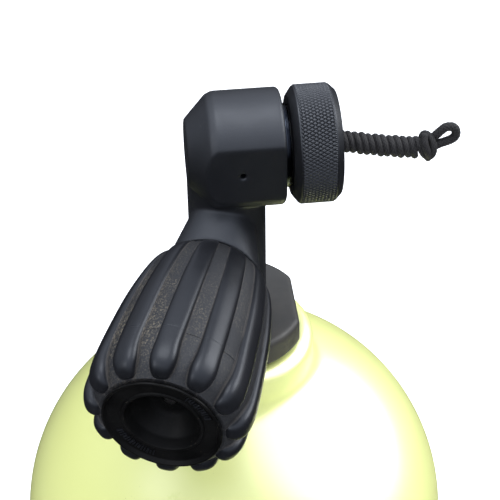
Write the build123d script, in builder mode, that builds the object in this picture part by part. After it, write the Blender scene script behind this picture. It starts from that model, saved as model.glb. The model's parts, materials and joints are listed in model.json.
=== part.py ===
"""Scuba cylinder with a screw-down valve, a rubber handwheel and a corded outlet plug.

Millimetres. The origin is the centre of the flat base, +Z runs up the cylinder's axis, the
outlet points along +X, and the handwheel points forward (-Y) and a little to the left.
"""

import os
from math import acos, cos, degrees, pi, radians, sin

from build123d import *

os.makedirs("parts", exist_ok=True)

# ---- Driving dimensions: the cylinder -------------------------------------------------------
TANK_R = 85.5  # outside radius of the straight wall
TANK_WALL = 11.5
BASE_T = 14.0
BASE_EDGE_R = 16.0
SHOULDER_Z = 545.0  # centre of the hemispherical shoulder
NECK_Z = 642.0  # top face of the neck
NECK_R = 32.0
NECK_LIP_R = 4.5
NECK_FILLET_R = 9.0
STEM_LENGTH = 24.0  # M25 x 2 valve thread

# ---- Driving dimensions: the valve ----------------------------------------------------------
STEM_R = 12.5
STEM_BORE_R = 6.5
FOOT_R = 21.0
FOOT_T = 2.0
DISC_R = 28.6  # wrench disc above the neck
DISC_TOP = 12.4
DISC_FLAT = 25.3
PILLAR_R = 14.1
OUTLET_Z = NECK_Z + 82.5
HEAD_R = 20.9
HEAD_LEFT = -14.1
HEAD_RIGHT = 20.0
HEAD_FLAT = 17.8
HEAD_BEVEL_X = 9.0
HEAD_BEVEL_R = 9.3
OUTLET_BORE_R = 11.45  # G5/8 outlet thread
OUTLET_FLOOR_X = 3.5
SPIGOT_X = 22.0
SPIGOT_R = 13.0
RING_R = 15.0
VENT_X = 4.6
VENT_R = 1.1
RISER_R = 3.0
ORIFICE_R = 2.2

# ---- Driving dimensions: the handwheel, by station along its own axis -----------------------
WHEEL_Z = NECK_Z + 44.2
WHEEL_YAW = 19.3  # degrees, from straight ahead towards -X
WHEEL_DIP = 5.8  # degrees, downwards
BOSS_FACE = 21.5
BOSS_R = 17.6
NOSE_END = 28.0
NOSE_R = 12.5
CHAMBER_R = 7.6
CHAMBER_FLOOR = -2.0
BONNET_BORE_R = 9.0
BONNET_SEAT = 14.9
SHAFT_R = 4.0
HUB_BACK = 22.4
HUB_WEB = 36.0
HUB_WELL = 66.0
HUB_END = 78.0
HUB_R = 14.6
HUB_CAVITY_R = 13.4
SQUARE_AF = 7.0
DISH_MOUTH = 92.9
DISH_RING = 91.4
DISH_MOUTH_R = 12.9
DISH_BUTTON_R = 3.6
RIM_R = 20.5
LOBES = 12
LOBE_PHASE = 28  # degrees from the wheel's right-hand side to the first lobe
LOBE_SHARE = 0.56  # share of each pitch that the raised lobe takes
GROOVE_DEPTH = 2.3
SEAT_PITCH = 1.5
SEAT_TRAVEL = 3.75

# ---- Driving dimensions: the outlet plug and its cord ---------------------------------------
CAP_BACK = 22.5
CAP_FACE = 39.7
CAP_R = 21.2
CAP_BEVEL = 2.5
PLUG_R = 11.38
PLUG_NOSE = 12.0
CORD_CAVITY_END = 33.0
CORD_D = 2.5
CORD_HOLE_R = 1.7
WRAP_R = 4.1
WRAP_END_X = 69.8
WRAP_DROOP = 5.4  # how far the wrap's far end hangs below the outlet's axis
KNOT_X = 72.7
KNOT_TOP = 1.4  # from the outlet's axis
KNOT_BOTTOM = -10.6

# ---- Frames ---------------------------------------------------------------------------------
yaw, dip = radians(WHEEL_YAW), radians(WHEEL_DIP)
wheel_dir = Vector(-sin(yaw) * cos(dip), -cos(yaw) * cos(dip), -sin(dip))
wheel_side = Vector(cos(yaw), -sin(yaw), 0)
wheel_origin = Vector(0, 0, WHEEL_Z)
WHEEL_AXIS = Axis(wheel_origin, wheel_dir)
OUTLET_AXIS = Axis((0, 0, OUTLET_Z), (1, 0, 0))
# Section planes: local x is the radius and local y the station along the axis.
TANK_SECTION = Plane.XZ
WHEEL_SECTION = Plane(wheel_origin, x_dir=wheel_side, z_dir=wheel_side.cross(wheel_dir))
OUTLET_SECTION = Plane((0, 0, OUTLET_Z), x_dir=(0, 0, 1), z_dir=(0, 1, 0))


def wheel_plane(station):
    """The plane square to the handwheel's axis, with local y pointing up."""
    return Plane(wheel_origin + wheel_dir * station, x_dir=wheel_side, z_dir=wheel_dir)


def outlet_plane(x):
    """The plane square to the outlet's axis, with local x pointing up."""
    return Plane((x, 0, OUTLET_Z), x_dir=(0, 0, 1), z_dir=(1, 0, 0))


def turn(points, plane, axis, mode=Mode.ADD):
    """Revolve a closed outline of (radius, station) points."""
    with BuildSketch(plane) as outline:
        with BuildLine():
            Polyline(*points, close=True)
        make_face()
    revolve(outline.sketch, axis=axis, mode=mode)


def wheel_turn(points, mode=Mode.ADD):
    turn(points, WHEEL_SECTION, WHEEL_AXIS, mode)


def outlet_turn(points, mode=Mode.ADD):
    turn(points, OUTLET_SECTION, OUTLET_AXIS, mode)


def tube(inner, outer, start, end):
    """The rectangle outline of a plain ring or bush."""
    return [(inner, start), (outer, start), (outer, end), (inner, end)]


def wheel_o_ring(mean_r, section_r, station):
    with BuildSketch(WHEEL_SECTION) as section:
        with Locations((mean_r, station)):
            Circle(section_r)
    revolve(section.sketch, axis=WHEEL_AXIS)


def save(builder, name):
    builder.part.label = name
    export_step(builder.part, f"parts/{name}.step")


# ---- Cylinder -------------------------------------------------------------------------------
inner_r = TANK_R - TANK_WALL
bore_r = STEM_R + 0.05
gland_r, gland_depth = 16.2, 3.4
with BuildPart() as cylinder_shell:
    with BuildSketch(TANK_SECTION) as wall:
        with BuildLine():
            neck_turn = degrees(acos(NECK_R / TANK_R))
            bore_turn = degrees(acos(bore_r / inner_r))
            outer_dome = CenterArc((0, SHOULDER_Z), TANK_R, 0, neck_turn)
            inner_dome = CenterArc((0, SHOULDER_Z), inner_r, 0, bore_turn)
            Line((TANK_R, 0), outer_dome @ 0)
            Polyline(
                outer_dome @ 1,
                (NECK_R, NECK_Z),
                (gland_r, NECK_Z),
                (gland_r, NECK_Z - gland_depth),
                (bore_r, NECK_Z - gland_depth),
                inner_dome @ 1,
            )
            Polyline(inner_dome @ 0, (inner_r, BASE_T), (0, BASE_T), (0, 0), (TANK_R, 0))
        make_face()
        corners = wall.vertices()
        fillet(corners.filter_by(lambda v: v.X > TANK_R - 0.1 and v.Y < 0.1), BASE_EDGE_R)
        corners = wall.vertices()
        fillet(corners.filter_by(lambda v: abs(v.X - inner_r) < 0.1 and v.Y < 20), 12)
        corners = wall.vertices()
        fillet(corners.filter_by(lambda v: abs(v.X - NECK_R) < 0.1 and v.Y > NECK_Z - 1), NECK_LIP_R)
        corners = wall.vertices()
        fillet(corners.filter_by(lambda v: abs(v.X - NECK_R) < 0.1 and v.Y < NECK_Z - 6), NECK_FILLET_R)
    revolve(axis=Axis.Z)
save(cylinder_shell, "cylinder_shell")

with BuildPart() as neck_o_ring:
    with BuildSketch(TANK_SECTION):
        with Locations(((STEM_R + gland_r) / 2, NECK_Z - gland_depth / 2)):
            Circle(1.68)
    revolve(axis=Axis.Z)
save(neck_o_ring, "neck_o_ring")

# ---- Valve body -----------------------------------------------------------------------------
riser_at = wheel_origin + wheel_dir * -7
with BuildPart() as valve_body:
    # Threaded stem, foot and wrench disc.
    with BuildSketch(Plane.XY.offset(NECK_Z - STEM_LENGTH)):
        Circle(STEM_R)
    extrude(amount=STEM_LENGTH)
    with BuildSketch(Plane.XY.offset(NECK_Z)):
        Circle(FOOT_R)
    extrude(amount=FOOT_T)
    with BuildSketch(Plane.XY.offset(NECK_Z + FOOT_T)):
        Circle(DISC_R)
        Rectangle(2 * DISC_FLAT, 3 * DISC_R, mode=Mode.INTERSECT)
    extrude(amount=DISC_TOP - FOOT_T)
    fillet(valve_body.edges().group_by(Axis.Z)[-1], 2.2)
    # Pillar up to the head.
    with BuildSketch(Plane.XY.offset(NECK_Z + DISC_TOP - 1)):
        Circle(PILLAR_R)
    extrude(amount=OUTLET_Z - NECK_Z - DISC_TOP + 1)
    # Head: a cylinder along the outlet with a cone at its left end and flats front and back.
    with BuildPart(mode=Mode.PRIVATE) as head:
        outlet_turn([
            (0, HEAD_LEFT),
            (HEAD_R - HEAD_BEVEL_R, HEAD_LEFT),
            (HEAD_R - 1.0, HEAD_LEFT + HEAD_BEVEL_X - 1.0),
            (HEAD_R, HEAD_LEFT + HEAD_BEVEL_X + 1.4),
            (HEAD_R, HEAD_RIGHT - 1),
            (HEAD_R - 1, HEAD_RIGHT),
            (SPIGOT_R, HEAD_RIGHT),
            (SPIGOT_R, SPIGOT_X),
            (0, SPIGOT_X),
        ])
        with BuildSketch(outlet_plane(HEAD_LEFT - 1)):
            Rectangle(3 * HEAD_R, 2 * HEAD_FLAT)
        extrude(amount=60, mode=Mode.INTERSECT)
    add(head.part)
    # Outlet thread and vent.
    outlet_turn(tube(0, OUTLET_BORE_R, OUTLET_FLOOR_X, SPIGOT_X), Mode.SUBTRACT)
    outlet_turn(tube(0, RISER_R, -3, OUTLET_FLOOR_X + 1), Mode.SUBTRACT)
    with BuildSketch(Plane((VENT_X, 0, OUTLET_Z), x_dir=(1, 0, 0), z_dir=(0, -1, 0))):
        Circle(VENT_R)
    extrude(amount=HEAD_R, mode=Mode.SUBTRACT)
    # Upright passages: chamber to outlet, and stem to chamber. They come before the flared boss,
    # because the same cuts after it lose the boss.
    with BuildSketch(Plane.XY.offset(WHEEL_Z)):
        Circle(ORIFICE_R)
    extrude(amount=OUTLET_Z - WHEEL_Z, mode=Mode.SUBTRACT)
    with BuildSketch(Plane.XY.offset(NECK_Z - STEM_LENGTH)):
        Circle(STEM_BORE_R)
    extrude(amount=STEM_LENGTH + 20, mode=Mode.SUBTRACT)
    with BuildSketch(Plane((riser_at.X, riser_at.Y, NECK_Z + 16))):
        Circle(RISER_R)
    extrude(amount=riser_at.Z - NECK_Z - 16, mode=Mode.SUBTRACT)
    # Flared boss: a tall oval inside the pillar runs out to a round face behind the handwheel.
    with BuildSketch(wheel_plane(6)) as oval:
        with Locations((0, 5.5)):
            Ellipse(12.6, 20.2)
    with BuildSketch(wheel_plane(BOSS_FACE)) as boss_round:
        Circle(BOSS_R)
    loft([oval.sketch, boss_round.sketch])
    wheel_turn(tube(0, NOSE_R, 4, NOSE_END))
    # Chamber and bonnet thread behind the handwheel.
    wheel_turn(tube(0, CHAMBER_R, CHAMBER_FLOOR, BONNET_SEAT), Mode.SUBTRACT)
    wheel_turn(tube(0, BONNET_BORE_R, BONNET_SEAT, NOSE_END), Mode.SUBTRACT)
    wheel_turn(tube(0, 11.2, NOSE_END - 1.6, NOSE_END), Mode.SUBTRACT)
    # Raised seat lip around the orifice, then the orifice itself.
    wheel_turn(tube(0, 3.8, CHAMBER_FLOOR - 0.5, CHAMBER_FLOOR + 0.9))
    wheel_turn(tube(0, ORIFICE_R, -7, CHAMBER_FLOOR + 1), Mode.SUBTRACT)
save(valve_body, "valve_body")

with BuildPart() as outlet_ring:
    outlet_turn([
        (SPIGOT_R + 0.02, HEAD_RIGHT + 0.02),
        (RING_R, HEAD_RIGHT + 0.02),
        (RING_R, SPIGOT_X - 0.5),
        (RING_R - 0.5, SPIGOT_X),
        (SPIGOT_R + 0.02, SPIGOT_X),
    ])
save(outlet_ring, "outlet_ring")

with BuildPart() as dip_tube:
    turn(
        [
            (3.0, NECK_Z - 74),
            (4.0, NECK_Z - 74),
            (4.0, NECK_Z - STEM_LENGTH),
            (STEM_BORE_R - 0.05, NECK_Z - STEM_LENGTH),
            (STEM_BORE_R - 0.05, NECK_Z - 14),
            (3.0, NECK_Z - 14),
        ],
        TANK_SECTION,
        Axis.Z,
    )
save(dip_tube, "dip_tube")

with BuildPart() as inlet_filter:
    turn(
        [
            (3.6, NECK_Z - 13.9),
            (STEM_BORE_R - 0.05, NECK_Z - 13.9),
            (STEM_BORE_R - 0.05, NECK_Z - 11.5),
            (3.6, NECK_Z + 2),
            (0, NECK_Z + 2),
            (0, NECK_Z),
            (2.2, NECK_Z),
        ],
        TANK_SECTION,
        Axis.Z,
    )
save(inlet_filter, "inlet_filter")

# ---- Bonnet and spindle ---------------------------------------------------------------------
bonnet_r = BONNET_BORE_R - 0.05
shaft_bore_r = SHAFT_R + 0.05
bonnet_face = 17.6
flange_end = 30.0
hex_end = 34.0
with BuildPart() as bonnet_nut:
    wheel_turn(tube(shaft_bore_r, bonnet_r, bonnet_face, NOSE_END))
    wheel_turn(tube(shaft_bore_r, 12.0, NOSE_END + 0.02, flange_end))
    wheel_turn(tube(shaft_bore_r, bonnet_r, NOSE_END, NOSE_END + 0.1))
    with BuildSketch(wheel_plane(flange_end)):
        RegularPolygon(10.0, 6, major_radius=False)
        Circle(shaft_bore_r, mode=Mode.SUBTRACT)
    extrude(amount=hex_end - flange_end)
save(bonnet_nut, "bonnet_nut")

with BuildPart() as bonnet_o_ring:
    wheel_o_ring((bonnet_r + 11.2) / 2, 0.75, NOSE_END - 0.8)
save(bonnet_o_ring, "bonnet_o_ring")

groove_r = 2.9
groove_stations = (21.0, 25.5)
groove_width = 1.6
tip_start = 7.1
flange_start, flange_stop = 14.95, 16.6
with BuildPart() as spindle:
    wheel_turn(tube(0, 7.3, flange_start, flange_stop))
    wheel_turn(tube(0, SHAFT_R, flange_stop, HUB_WEB))
    for groove in groove_stations:
        wheel_turn(tube(groove_r, SHAFT_R + 1, groove, groove + groove_width), Mode.SUBTRACT)
    with BuildSketch(wheel_plane(tip_start)):
        Rectangle(5.0, 5.0)
    extrude(amount=flange_start - tip_start)
    with BuildSketch(wheel_plane(HUB_WEB)):
        Rectangle(SQUARE_AF, SQUARE_AF)
    extrude(amount=HUB_WELL - HUB_WEB)
    wheel_turn(tube(0, 2.5, HUB_WELL, 78.6))
save(spindle, "spindle")

with BuildPart() as spindle_o_rings:
    for groove in groove_stations:
        wheel_o_ring(3.47, 0.54, groove + groove_width / 2)
save(spindle_o_rings, "spindle_o_rings")

with BuildPart() as thrust_washer:
    wheel_turn(tube(shaft_bore_r, 7.2, flange_stop + 0.02, bonnet_face - 0.08))
save(thrust_washer, "thrust_washer")

# ---- Seat -----------------------------------------------------------------------------------
insert_start, insert_end = CHAMBER_FLOOR + 1.0, 1.2
carrier_start, carrier_end = -0.4, 11.0
carrier_r = CHAMBER_R - 0.07
with BuildPart() as seat_carrier:
    wheel_turn(tube(0, carrier_r, carrier_start, carrier_end))
    wheel_turn(tube(0, 5.0, carrier_start, insert_end), Mode.SUBTRACT)
    with BuildSketch(wheel_plane(3.0)):
        Rectangle(5.2, 5.2)
    extrude(amount=carrier_end - 3.0, mode=Mode.SUBTRACT)
save(seat_carrier, "seat_carrier")

with BuildPart() as seat_insert:
    wheel_turn(tube(0, 4.95, insert_start, insert_end))
save(seat_insert, "seat_insert")

# ---- Handwheel ------------------------------------------------------------------------------
with BuildPart() as handwheel_hub:
    wheel_turn(tube(0, HUB_R, HUB_BACK, HUB_END))
    wheel_turn(tube(0, HUB_CAVITY_R, HUB_BACK, HUB_WEB), Mode.SUBTRACT)
    wheel_turn(tube(0, 6.6, HUB_WELL, HUB_END), Mode.SUBTRACT)
    with BuildSketch(wheel_plane(HUB_WEB)):
        Rectangle(SQUARE_AF + 0.1, SQUARE_AF + 0.1)
    extrude(amount=HUB_WELL - HUB_WEB, mode=Mode.SUBTRACT)
save(handwheel_hub, "handwheel_hub")

# Outer edge of the raised lobes as (station, radius), from the back edge to the rounded front.
LOBE_EDGE = [
    (HUB_BACK, 17.4),
    (30, 22.4),
    (38, 25.0),
    (50, 26.9),
    (66, 28.3),
    (80, 29.2),
    (86, 28.3),
    (89.6, 25.6),
    (91.0, 21.8),
]
FRONT_BORE_R = 17.6
pitch = 360 / LOBES
groove_arc = pitch * (1 - LOBE_SHARE)
with BuildPart() as handwheel_grip:
    with BuildSketch(WHEEL_SECTION) as lobe_section:
        with BuildLine():
            crest = Spline(*[(r, s) for s, r in LOBE_EDGE])
            Polyline(
                crest @ 1,
                (FRONT_BORE_R, LOBE_EDGE[-1][0]),
                (FRONT_BORE_R, HUB_END + 0.05),
                (HUB_R + 0.02, HUB_END + 0.05),
                (HUB_R + 0.02, HUB_BACK),
                crest @ 0,
            )
        make_face()
    revolve(axis=WHEEL_AXIS)
    with BuildSketch(WHEEL_SECTION) as groove_section:
        with BuildLine():
            floor = Spline(*[(r - GROOVE_DEPTH, s) for s, r in LOBE_EDGE[1:-1]])
            Polyline(floor @ 1, (40, (floor @ 1).Y), (40, (floor @ 0).Y), floor @ 0)
        make_face()
    one_groove = revolve(
        groove_section.sketch, axis=WHEEL_AXIS, revolution_arc=groove_arc, mode=Mode.PRIVATE
    )
    first_groove = LOBE_PHASE + pitch * LOBE_SHARE / 2
    for i in range(LOBES):
        add(one_groove.rotate(WHEEL_AXIS, first_groove + i * pitch), mode=Mode.SUBTRACT)
save(handwheel_grip, "handwheel_grip")

with BuildPart() as front_dish:
    wheel_turn([
        (DISH_BUTTON_R, HUB_END + 0.1),
        (FRONT_BORE_R - 0.05, HUB_END + 0.1),
        (FRONT_BORE_R - 0.05, DISH_RING - 0.3),
        (RIM_R - 0.7, DISH_RING - 0.1),
        (RIM_R, DISH_MOUTH - 0.6),
        (RIM_R, DISH_MOUTH),
        (RIM_R - 1.1, DISH_MOUTH),
        (RIM_R - 1.1, DISH_RING),
        (DISH_MOUTH_R, DISH_RING),
        (6.6, HUB_END + 1.6),
        (DISH_BUTTON_R, HUB_END + 1.1),
    ])
save(front_dish, "front_dish")

SPRING_TURNS = 3
spring_wire_r = 0.55
spring_r = 5.2
spring_start, spring_end = HUB_WELL + 0.7, 72.4
with BuildPart() as knob_spring:
    coil_height = spring_end - spring_start
    with BuildLine() as coil:
        Helix(
            pitch=coil_height / SPRING_TURNS,
            height=coil_height,
            radius=spring_r,
            center=wheel_origin + wheel_dir * spring_start,
            direction=wheel_dir,
        )
    with BuildSketch(Plane(coil.line @ 0, z_dir=coil.line % 0)):
        Circle(spring_wire_r)
    sweep(path=coil.line, is_frenet=True)
save(knob_spring, "knob_spring")

washer_start, washer_end = 73.1, 74.3
with BuildPart() as knob_washer:
    wheel_turn(tube(2.55, 6.4, washer_start, washer_end))
save(knob_washer, "knob_washer")

nut_end = 79.8
with BuildPart() as knob_nut:
    with BuildSketch(wheel_plane(washer_end + 0.02)):
        RegularPolygon(4.4, 6, major_radius=False)
    extrude(amount=3.6)
    wheel_turn([(0, 77), (3.3, 77), (3.3, 79), (2.6, nut_end - 0.3), (0, nut_end)])
    wheel_turn(tube(0, 2.52, washer_end, 78.65), Mode.SUBTRACT)
save(knob_nut, "knob_nut")

# ---- Outlet plug ----------------------------------------------------------------------------
with BuildPart() as outlet_cap:
    outlet_turn([
        (0, PLUG_NOSE),
        (PLUG_R - 1, PLUG_NOSE),
        (PLUG_R, PLUG_NOSE + 1),
        (PLUG_R, CAP_BACK),
        (CAP_R - 3.4, CAP_BACK),
        (CAP_R, CAP_BACK + CAP_BEVEL),
        (CAP_R, CAP_FACE - CAP_BEVEL),
        (CAP_R - CAP_BEVEL, CAP_FACE),
        (0, CAP_FACE),
    ])
    outlet_turn(tube(12.0, 14.4, CAP_BACK, CAP_BACK + 1.6), Mode.SUBTRACT)
    outlet_turn(tube(0, 6.0, PLUG_NOSE, CORD_CAVITY_END), Mode.SUBTRACT)
    outlet_turn(tube(0, CORD_HOLE_R, CORD_CAVITY_END - 1, CAP_FACE), Mode.SUBTRACT)
save(outlet_cap, "outlet_cap")

with BuildPart() as cap_o_ring:
    with BuildSketch(OUTLET_SECTION):
        with Locations((13.2, CAP_BACK + 0.75)):
            Circle(0.82)
    revolve(axis=OUTLET_AXIS)
save(cap_o_ring, "cap_o_ring")

# ---- Cord -----------------------------------------------------------------------------------
wrap_start = Vector(CAP_FACE + 1.0, 0, OUTLET_Z - 0.4)
wrap_end = Vector(WRAP_END_X, 0, OUTLET_Z - WRAP_DROOP)
stopper_r = 3.4
with BuildPart() as cord_stopper:
    with Locations((CORD_CAVITY_END - stopper_r - 0.4, 0, OUTLET_Z)):
        Sphere(stopper_r)
    with BuildSketch(outlet_plane(CORD_CAVITY_END - stopper_r)):
        Circle(CORD_D / 2)
    extrude(amount=CAP_FACE + 0.8 - CORD_CAVITY_END + stopper_r)
save(cord_stopper, "cord_stopper")

with BuildPart() as cord_wrap:
    with BuildSketch(Plane(wrap_start, z_dir=wrap_end - wrap_start)):
        Circle(WRAP_R)
    extrude(amount=(wrap_end - wrap_start).length)
save(cord_wrap, "cord_wrap")

with BuildPart() as cord_knot:
    with BuildSketch(Plane.XY.offset(OUTLET_Z + KNOT_BOTTOM)):
        with Locations((KNOT_X, 0)):
            Ellipse(2.6, 4.0)
    extrude(amount=KNOT_TOP - KNOT_BOTTOM)
    fillet(cord_knot.edges().filter_by(GeomType.LINE, reverse=True), 1.0)
save(cord_knot, "cord_knot")

# The loop leaves the knot low, climbs outwards, turns back tightly and returns below itself.
LOOP = [(74.9, -2.6), (78.4, 3.2), (83.9, 2.4), (83.3, -1.8), (75.0, -4.4)]
LOOP_RADII = [3.0, 2.2, 2.4]
with BuildPart() as cord_loop:
    with BuildLine() as loop_line:
        FilletPolyline(*[(x, 0, OUTLET_Z + z) for x, z in LOOP], radius=LOOP_RADII)
    with BuildSketch(Plane(loop_line.line @ 0, z_dir=loop_line.line % 0)):
        Circle(CORD_D / 2)
    sweep(path=loop_line.line)
save(cord_loop, "cord_loop")

loop_length = loop_line.wires()[0].length
loop_share = cord_loop.part.volume / (pi * (CORD_D / 2) ** 2 * loop_length)
print("cord loop: bend radii", LOOP_RADII, "length", round(loop_length, 1))
print("cord loop: volume over section times length", round(loop_share, 4))
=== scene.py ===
"""Looks for the scuba tank: lime cylinder, black valve, rubber handwheel, knurled plug and cord.

Lengths are in metres, except in the profiles of turned and moulded pieces, which are in
millimetres: rounded(), outlet_point(), the knurl and the grip's numbers. Places come from the
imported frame: the handwheel's axis, the outlet's axis and the neck's top.
"""

import json
import math

import bmesh
import bpy
from mathutils import Matrix, Vector
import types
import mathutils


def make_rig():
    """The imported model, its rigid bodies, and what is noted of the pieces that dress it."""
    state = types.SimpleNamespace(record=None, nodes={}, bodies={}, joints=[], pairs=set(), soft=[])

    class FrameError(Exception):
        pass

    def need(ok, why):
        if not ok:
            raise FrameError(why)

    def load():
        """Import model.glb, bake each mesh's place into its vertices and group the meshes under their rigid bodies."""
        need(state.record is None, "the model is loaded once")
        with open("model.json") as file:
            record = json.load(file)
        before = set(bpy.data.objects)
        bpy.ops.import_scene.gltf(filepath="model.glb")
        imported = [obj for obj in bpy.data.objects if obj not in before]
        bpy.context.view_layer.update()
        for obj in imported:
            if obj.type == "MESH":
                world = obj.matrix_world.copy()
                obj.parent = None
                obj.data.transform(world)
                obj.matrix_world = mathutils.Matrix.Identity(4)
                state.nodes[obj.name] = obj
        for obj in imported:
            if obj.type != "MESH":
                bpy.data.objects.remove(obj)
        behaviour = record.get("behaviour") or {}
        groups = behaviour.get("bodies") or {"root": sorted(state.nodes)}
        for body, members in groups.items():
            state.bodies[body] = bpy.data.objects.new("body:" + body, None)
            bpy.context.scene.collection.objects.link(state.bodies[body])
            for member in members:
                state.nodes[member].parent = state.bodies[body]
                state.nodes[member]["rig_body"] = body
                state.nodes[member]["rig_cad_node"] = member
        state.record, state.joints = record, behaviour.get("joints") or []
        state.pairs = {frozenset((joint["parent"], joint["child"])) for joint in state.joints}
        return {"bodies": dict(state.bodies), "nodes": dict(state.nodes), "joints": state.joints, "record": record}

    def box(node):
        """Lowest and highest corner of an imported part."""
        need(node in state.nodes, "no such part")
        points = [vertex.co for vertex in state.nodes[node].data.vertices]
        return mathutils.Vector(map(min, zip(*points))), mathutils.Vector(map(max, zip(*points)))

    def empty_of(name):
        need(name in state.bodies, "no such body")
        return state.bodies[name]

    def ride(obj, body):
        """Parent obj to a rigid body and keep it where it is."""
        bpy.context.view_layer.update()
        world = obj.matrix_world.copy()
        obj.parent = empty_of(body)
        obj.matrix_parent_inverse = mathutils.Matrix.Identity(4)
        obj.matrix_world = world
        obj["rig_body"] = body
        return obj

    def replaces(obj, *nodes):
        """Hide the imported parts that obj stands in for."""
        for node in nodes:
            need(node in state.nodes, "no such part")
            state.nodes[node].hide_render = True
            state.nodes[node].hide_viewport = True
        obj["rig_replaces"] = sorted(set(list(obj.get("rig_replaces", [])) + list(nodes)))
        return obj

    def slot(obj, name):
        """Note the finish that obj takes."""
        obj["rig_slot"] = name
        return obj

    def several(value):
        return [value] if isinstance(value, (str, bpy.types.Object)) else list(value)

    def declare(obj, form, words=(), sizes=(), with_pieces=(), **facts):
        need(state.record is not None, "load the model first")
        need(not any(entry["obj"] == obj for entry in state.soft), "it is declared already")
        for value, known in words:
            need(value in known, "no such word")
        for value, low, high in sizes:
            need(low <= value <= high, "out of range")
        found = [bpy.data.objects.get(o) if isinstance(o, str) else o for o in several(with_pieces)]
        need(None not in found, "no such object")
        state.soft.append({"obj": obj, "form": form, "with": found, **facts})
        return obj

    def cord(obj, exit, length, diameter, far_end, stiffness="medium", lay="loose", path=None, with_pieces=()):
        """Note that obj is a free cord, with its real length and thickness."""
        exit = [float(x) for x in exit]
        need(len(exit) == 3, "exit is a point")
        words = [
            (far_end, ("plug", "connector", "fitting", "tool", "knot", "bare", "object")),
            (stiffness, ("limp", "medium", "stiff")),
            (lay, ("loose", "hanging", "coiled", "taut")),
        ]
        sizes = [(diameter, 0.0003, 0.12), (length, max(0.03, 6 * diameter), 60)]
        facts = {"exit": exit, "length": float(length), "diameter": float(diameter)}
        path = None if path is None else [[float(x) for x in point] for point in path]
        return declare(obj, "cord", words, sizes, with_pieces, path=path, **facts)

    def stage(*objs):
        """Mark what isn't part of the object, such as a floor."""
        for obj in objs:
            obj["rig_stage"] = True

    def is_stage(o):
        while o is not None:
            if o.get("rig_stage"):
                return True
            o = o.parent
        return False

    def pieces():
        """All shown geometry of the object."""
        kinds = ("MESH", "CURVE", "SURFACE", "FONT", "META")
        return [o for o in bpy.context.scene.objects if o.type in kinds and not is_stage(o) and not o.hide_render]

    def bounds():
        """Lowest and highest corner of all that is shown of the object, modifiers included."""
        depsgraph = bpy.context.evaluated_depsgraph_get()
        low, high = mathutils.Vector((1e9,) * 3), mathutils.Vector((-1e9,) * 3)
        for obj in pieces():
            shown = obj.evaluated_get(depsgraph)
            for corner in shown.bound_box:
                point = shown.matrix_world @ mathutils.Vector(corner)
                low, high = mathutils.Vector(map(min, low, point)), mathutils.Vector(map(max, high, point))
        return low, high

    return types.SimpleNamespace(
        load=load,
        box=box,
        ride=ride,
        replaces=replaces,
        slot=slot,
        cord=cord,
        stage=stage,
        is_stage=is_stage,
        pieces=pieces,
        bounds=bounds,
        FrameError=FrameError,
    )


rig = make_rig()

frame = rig.load()
cad_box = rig.bounds()

MM = 0.001
AXIS_GAP = 0.0001  # how near the axis a closed outline starts

# ---- Places from the frame ------------------------------------------------------------------
joints = {joint["name"]: joint for joint in frame["joints"]}
WHEEL_DIR = Vector(joints["handwheel_turn"]["axis"]).normalized()
WHEEL_ORIGIN = Vector(joints["handwheel_turn"]["pos_m"])
WHEEL_SIDE = WHEEL_DIR.cross(Vector((0, 0, 1))).normalized() * -1
OUTLET_DIR = Vector((1, 0, 0))
OUTLET_ORIGIN = Vector(joints["cap_turn"]["pos_m"])
NECK_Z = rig.box("cylinder_shell")[1][2]
TANK_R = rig.box("cylinder_shell")[1][0]
CAP_LOW, CAP_HIGH = (Vector(corner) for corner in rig.box("outlet_cap"))
WRAP_LOW, WRAP_HIGH = (Vector(corner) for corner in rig.box("cord_wrap"))

# ---- Camera ---------------------------------------------------------------------------------
CAMERA_AZIMUTH = -5.69  # degrees
CAMERA_PITCH = 38.05
CAMERA_ROLL = -0.86
CAMERA_DISTANCE = 0.5906
CAMERA_RIGHT = 0.00824  # shift of the whole camera, kept parallel
CAMERA_UP = -0.00209
CAMERA_AIM_ABOVE_NECK = 0.040
CAMERA_LENS_MM = 115.2


def make_camera():
    azimuth, pitch, roll = (
        math.radians(a) for a in (CAMERA_AZIMUTH, CAMERA_PITCH, CAMERA_ROLL)
    )
    level_right = Vector((math.cos(azimuth), math.sin(azimuth), 0))
    back = Vector(
        (
            math.sin(azimuth) * math.cos(pitch),
            -math.cos(azimuth) * math.cos(pitch),
            math.sin(pitch),
        )
    )
    level_up = back.cross(level_right)
    right = level_right * math.cos(roll) + level_up * math.sin(roll)
    up = level_up * math.cos(roll) - level_right * math.sin(roll)
    data = bpy.data.cameras.new("camera")
    data.lens = CAMERA_LENS_MM
    data.sensor_width = 36
    data.clip_start, data.clip_end = 0.01, 50
    camera = bpy.data.objects.new("camera", data)
    bpy.context.scene.collection.objects.link(camera)
    aim = Vector((0, 0, NECK_Z + CAMERA_AIM_ABOVE_NECK))
    camera.matrix_world = Matrix.Translation(
        aim + back * CAMERA_DISTANCE + right * CAMERA_RIGHT + up * CAMERA_UP
    ) @ Matrix((right, up, back)).transposed().to_4x4()
    bpy.context.scene.camera = camera


make_camera()

# ---- Material tools -------------------------------------------------------------------------
COOL = (0.86, 0.91, 1.0)  # the black coats reflect a little bluer than the light


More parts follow.
